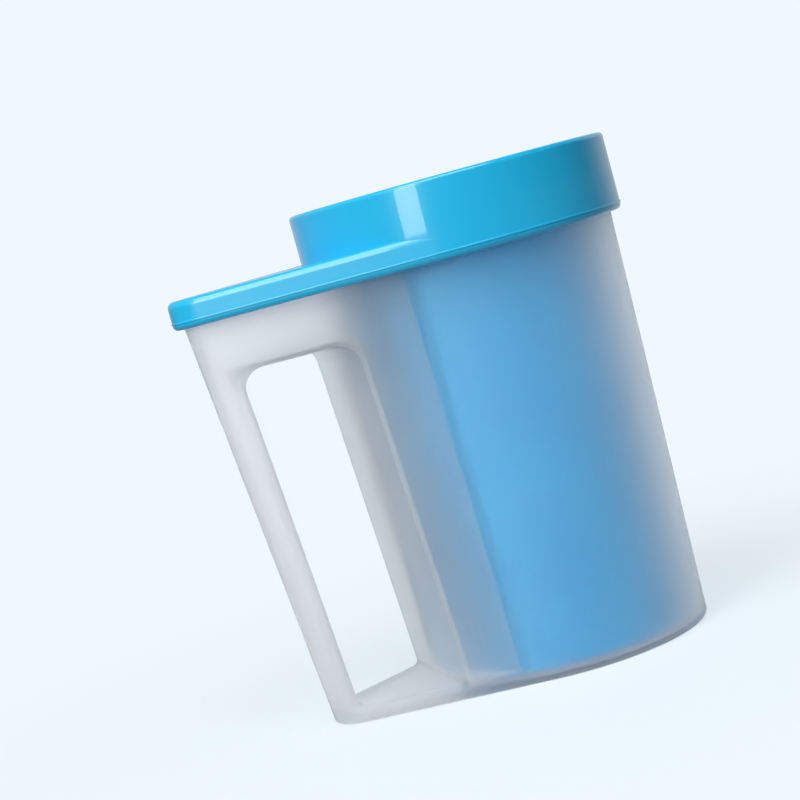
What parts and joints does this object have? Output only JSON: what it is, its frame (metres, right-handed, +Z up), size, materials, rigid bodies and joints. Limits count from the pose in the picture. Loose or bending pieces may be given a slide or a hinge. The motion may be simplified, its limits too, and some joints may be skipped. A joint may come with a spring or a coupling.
{
  "type": "paw washer cup",
  "caption": "Handled pet paw washing cup: frosted round cup with a looped grip, push-on lid with a round collar, seal and a soft bristled sleeve that lifts out.",
  "frame": {"origin": "on the round body's axis, at the flat base", "axes": "+Z up along the round body's axis, -X towards the handle, the object is mirrored left to right about the XZ plane"},
  "size_m": [0.1428, 0.0988, 0.15],
  "materials": {
    "frosted_plastic": "frosted translucent polypropylene, satin",
    "blue_plastic": "moulded, high gloss",
    "blue_silicone": "soft satin silicone",
    "seal_silicone": "soft translucent silicone"
  },
  "bodies": {
    "cup": {"cup_shell": "frosted_plastic"},
    "lid": {"lid": "blue_plastic", "lid_seal": "seal_silicone"},
    "sleeve": {"bristle_sleeve": "blue_silicone", "bristle_row_1": "blue_silicone", "bristle_row_2": "blue_silicone", "bristle_row_3": "blue_silicone", "bristle_row_4": "blue_silicone", "bristle_row_5": "blue_silicone", "bristle_row_6": "blue_silicone", "bristle_row_7": "blue_silicone", "bristle_row_8": "blue_silicone", "bristle_row_9": "blue_silicone"}
  },
  "joints": [
    {"name": "lid_lift", "type": "slide", "parent": "cup", "child": "lid", "axis": [0, 0, 1], "range_m": [0, 0.16]},
    {"name": "sleeve_lift", "type": "slide", "parent": "lid", "child": "sleeve", "axis": [0, 0, 1], "range_m": [0, 0.16]}
  ]
}
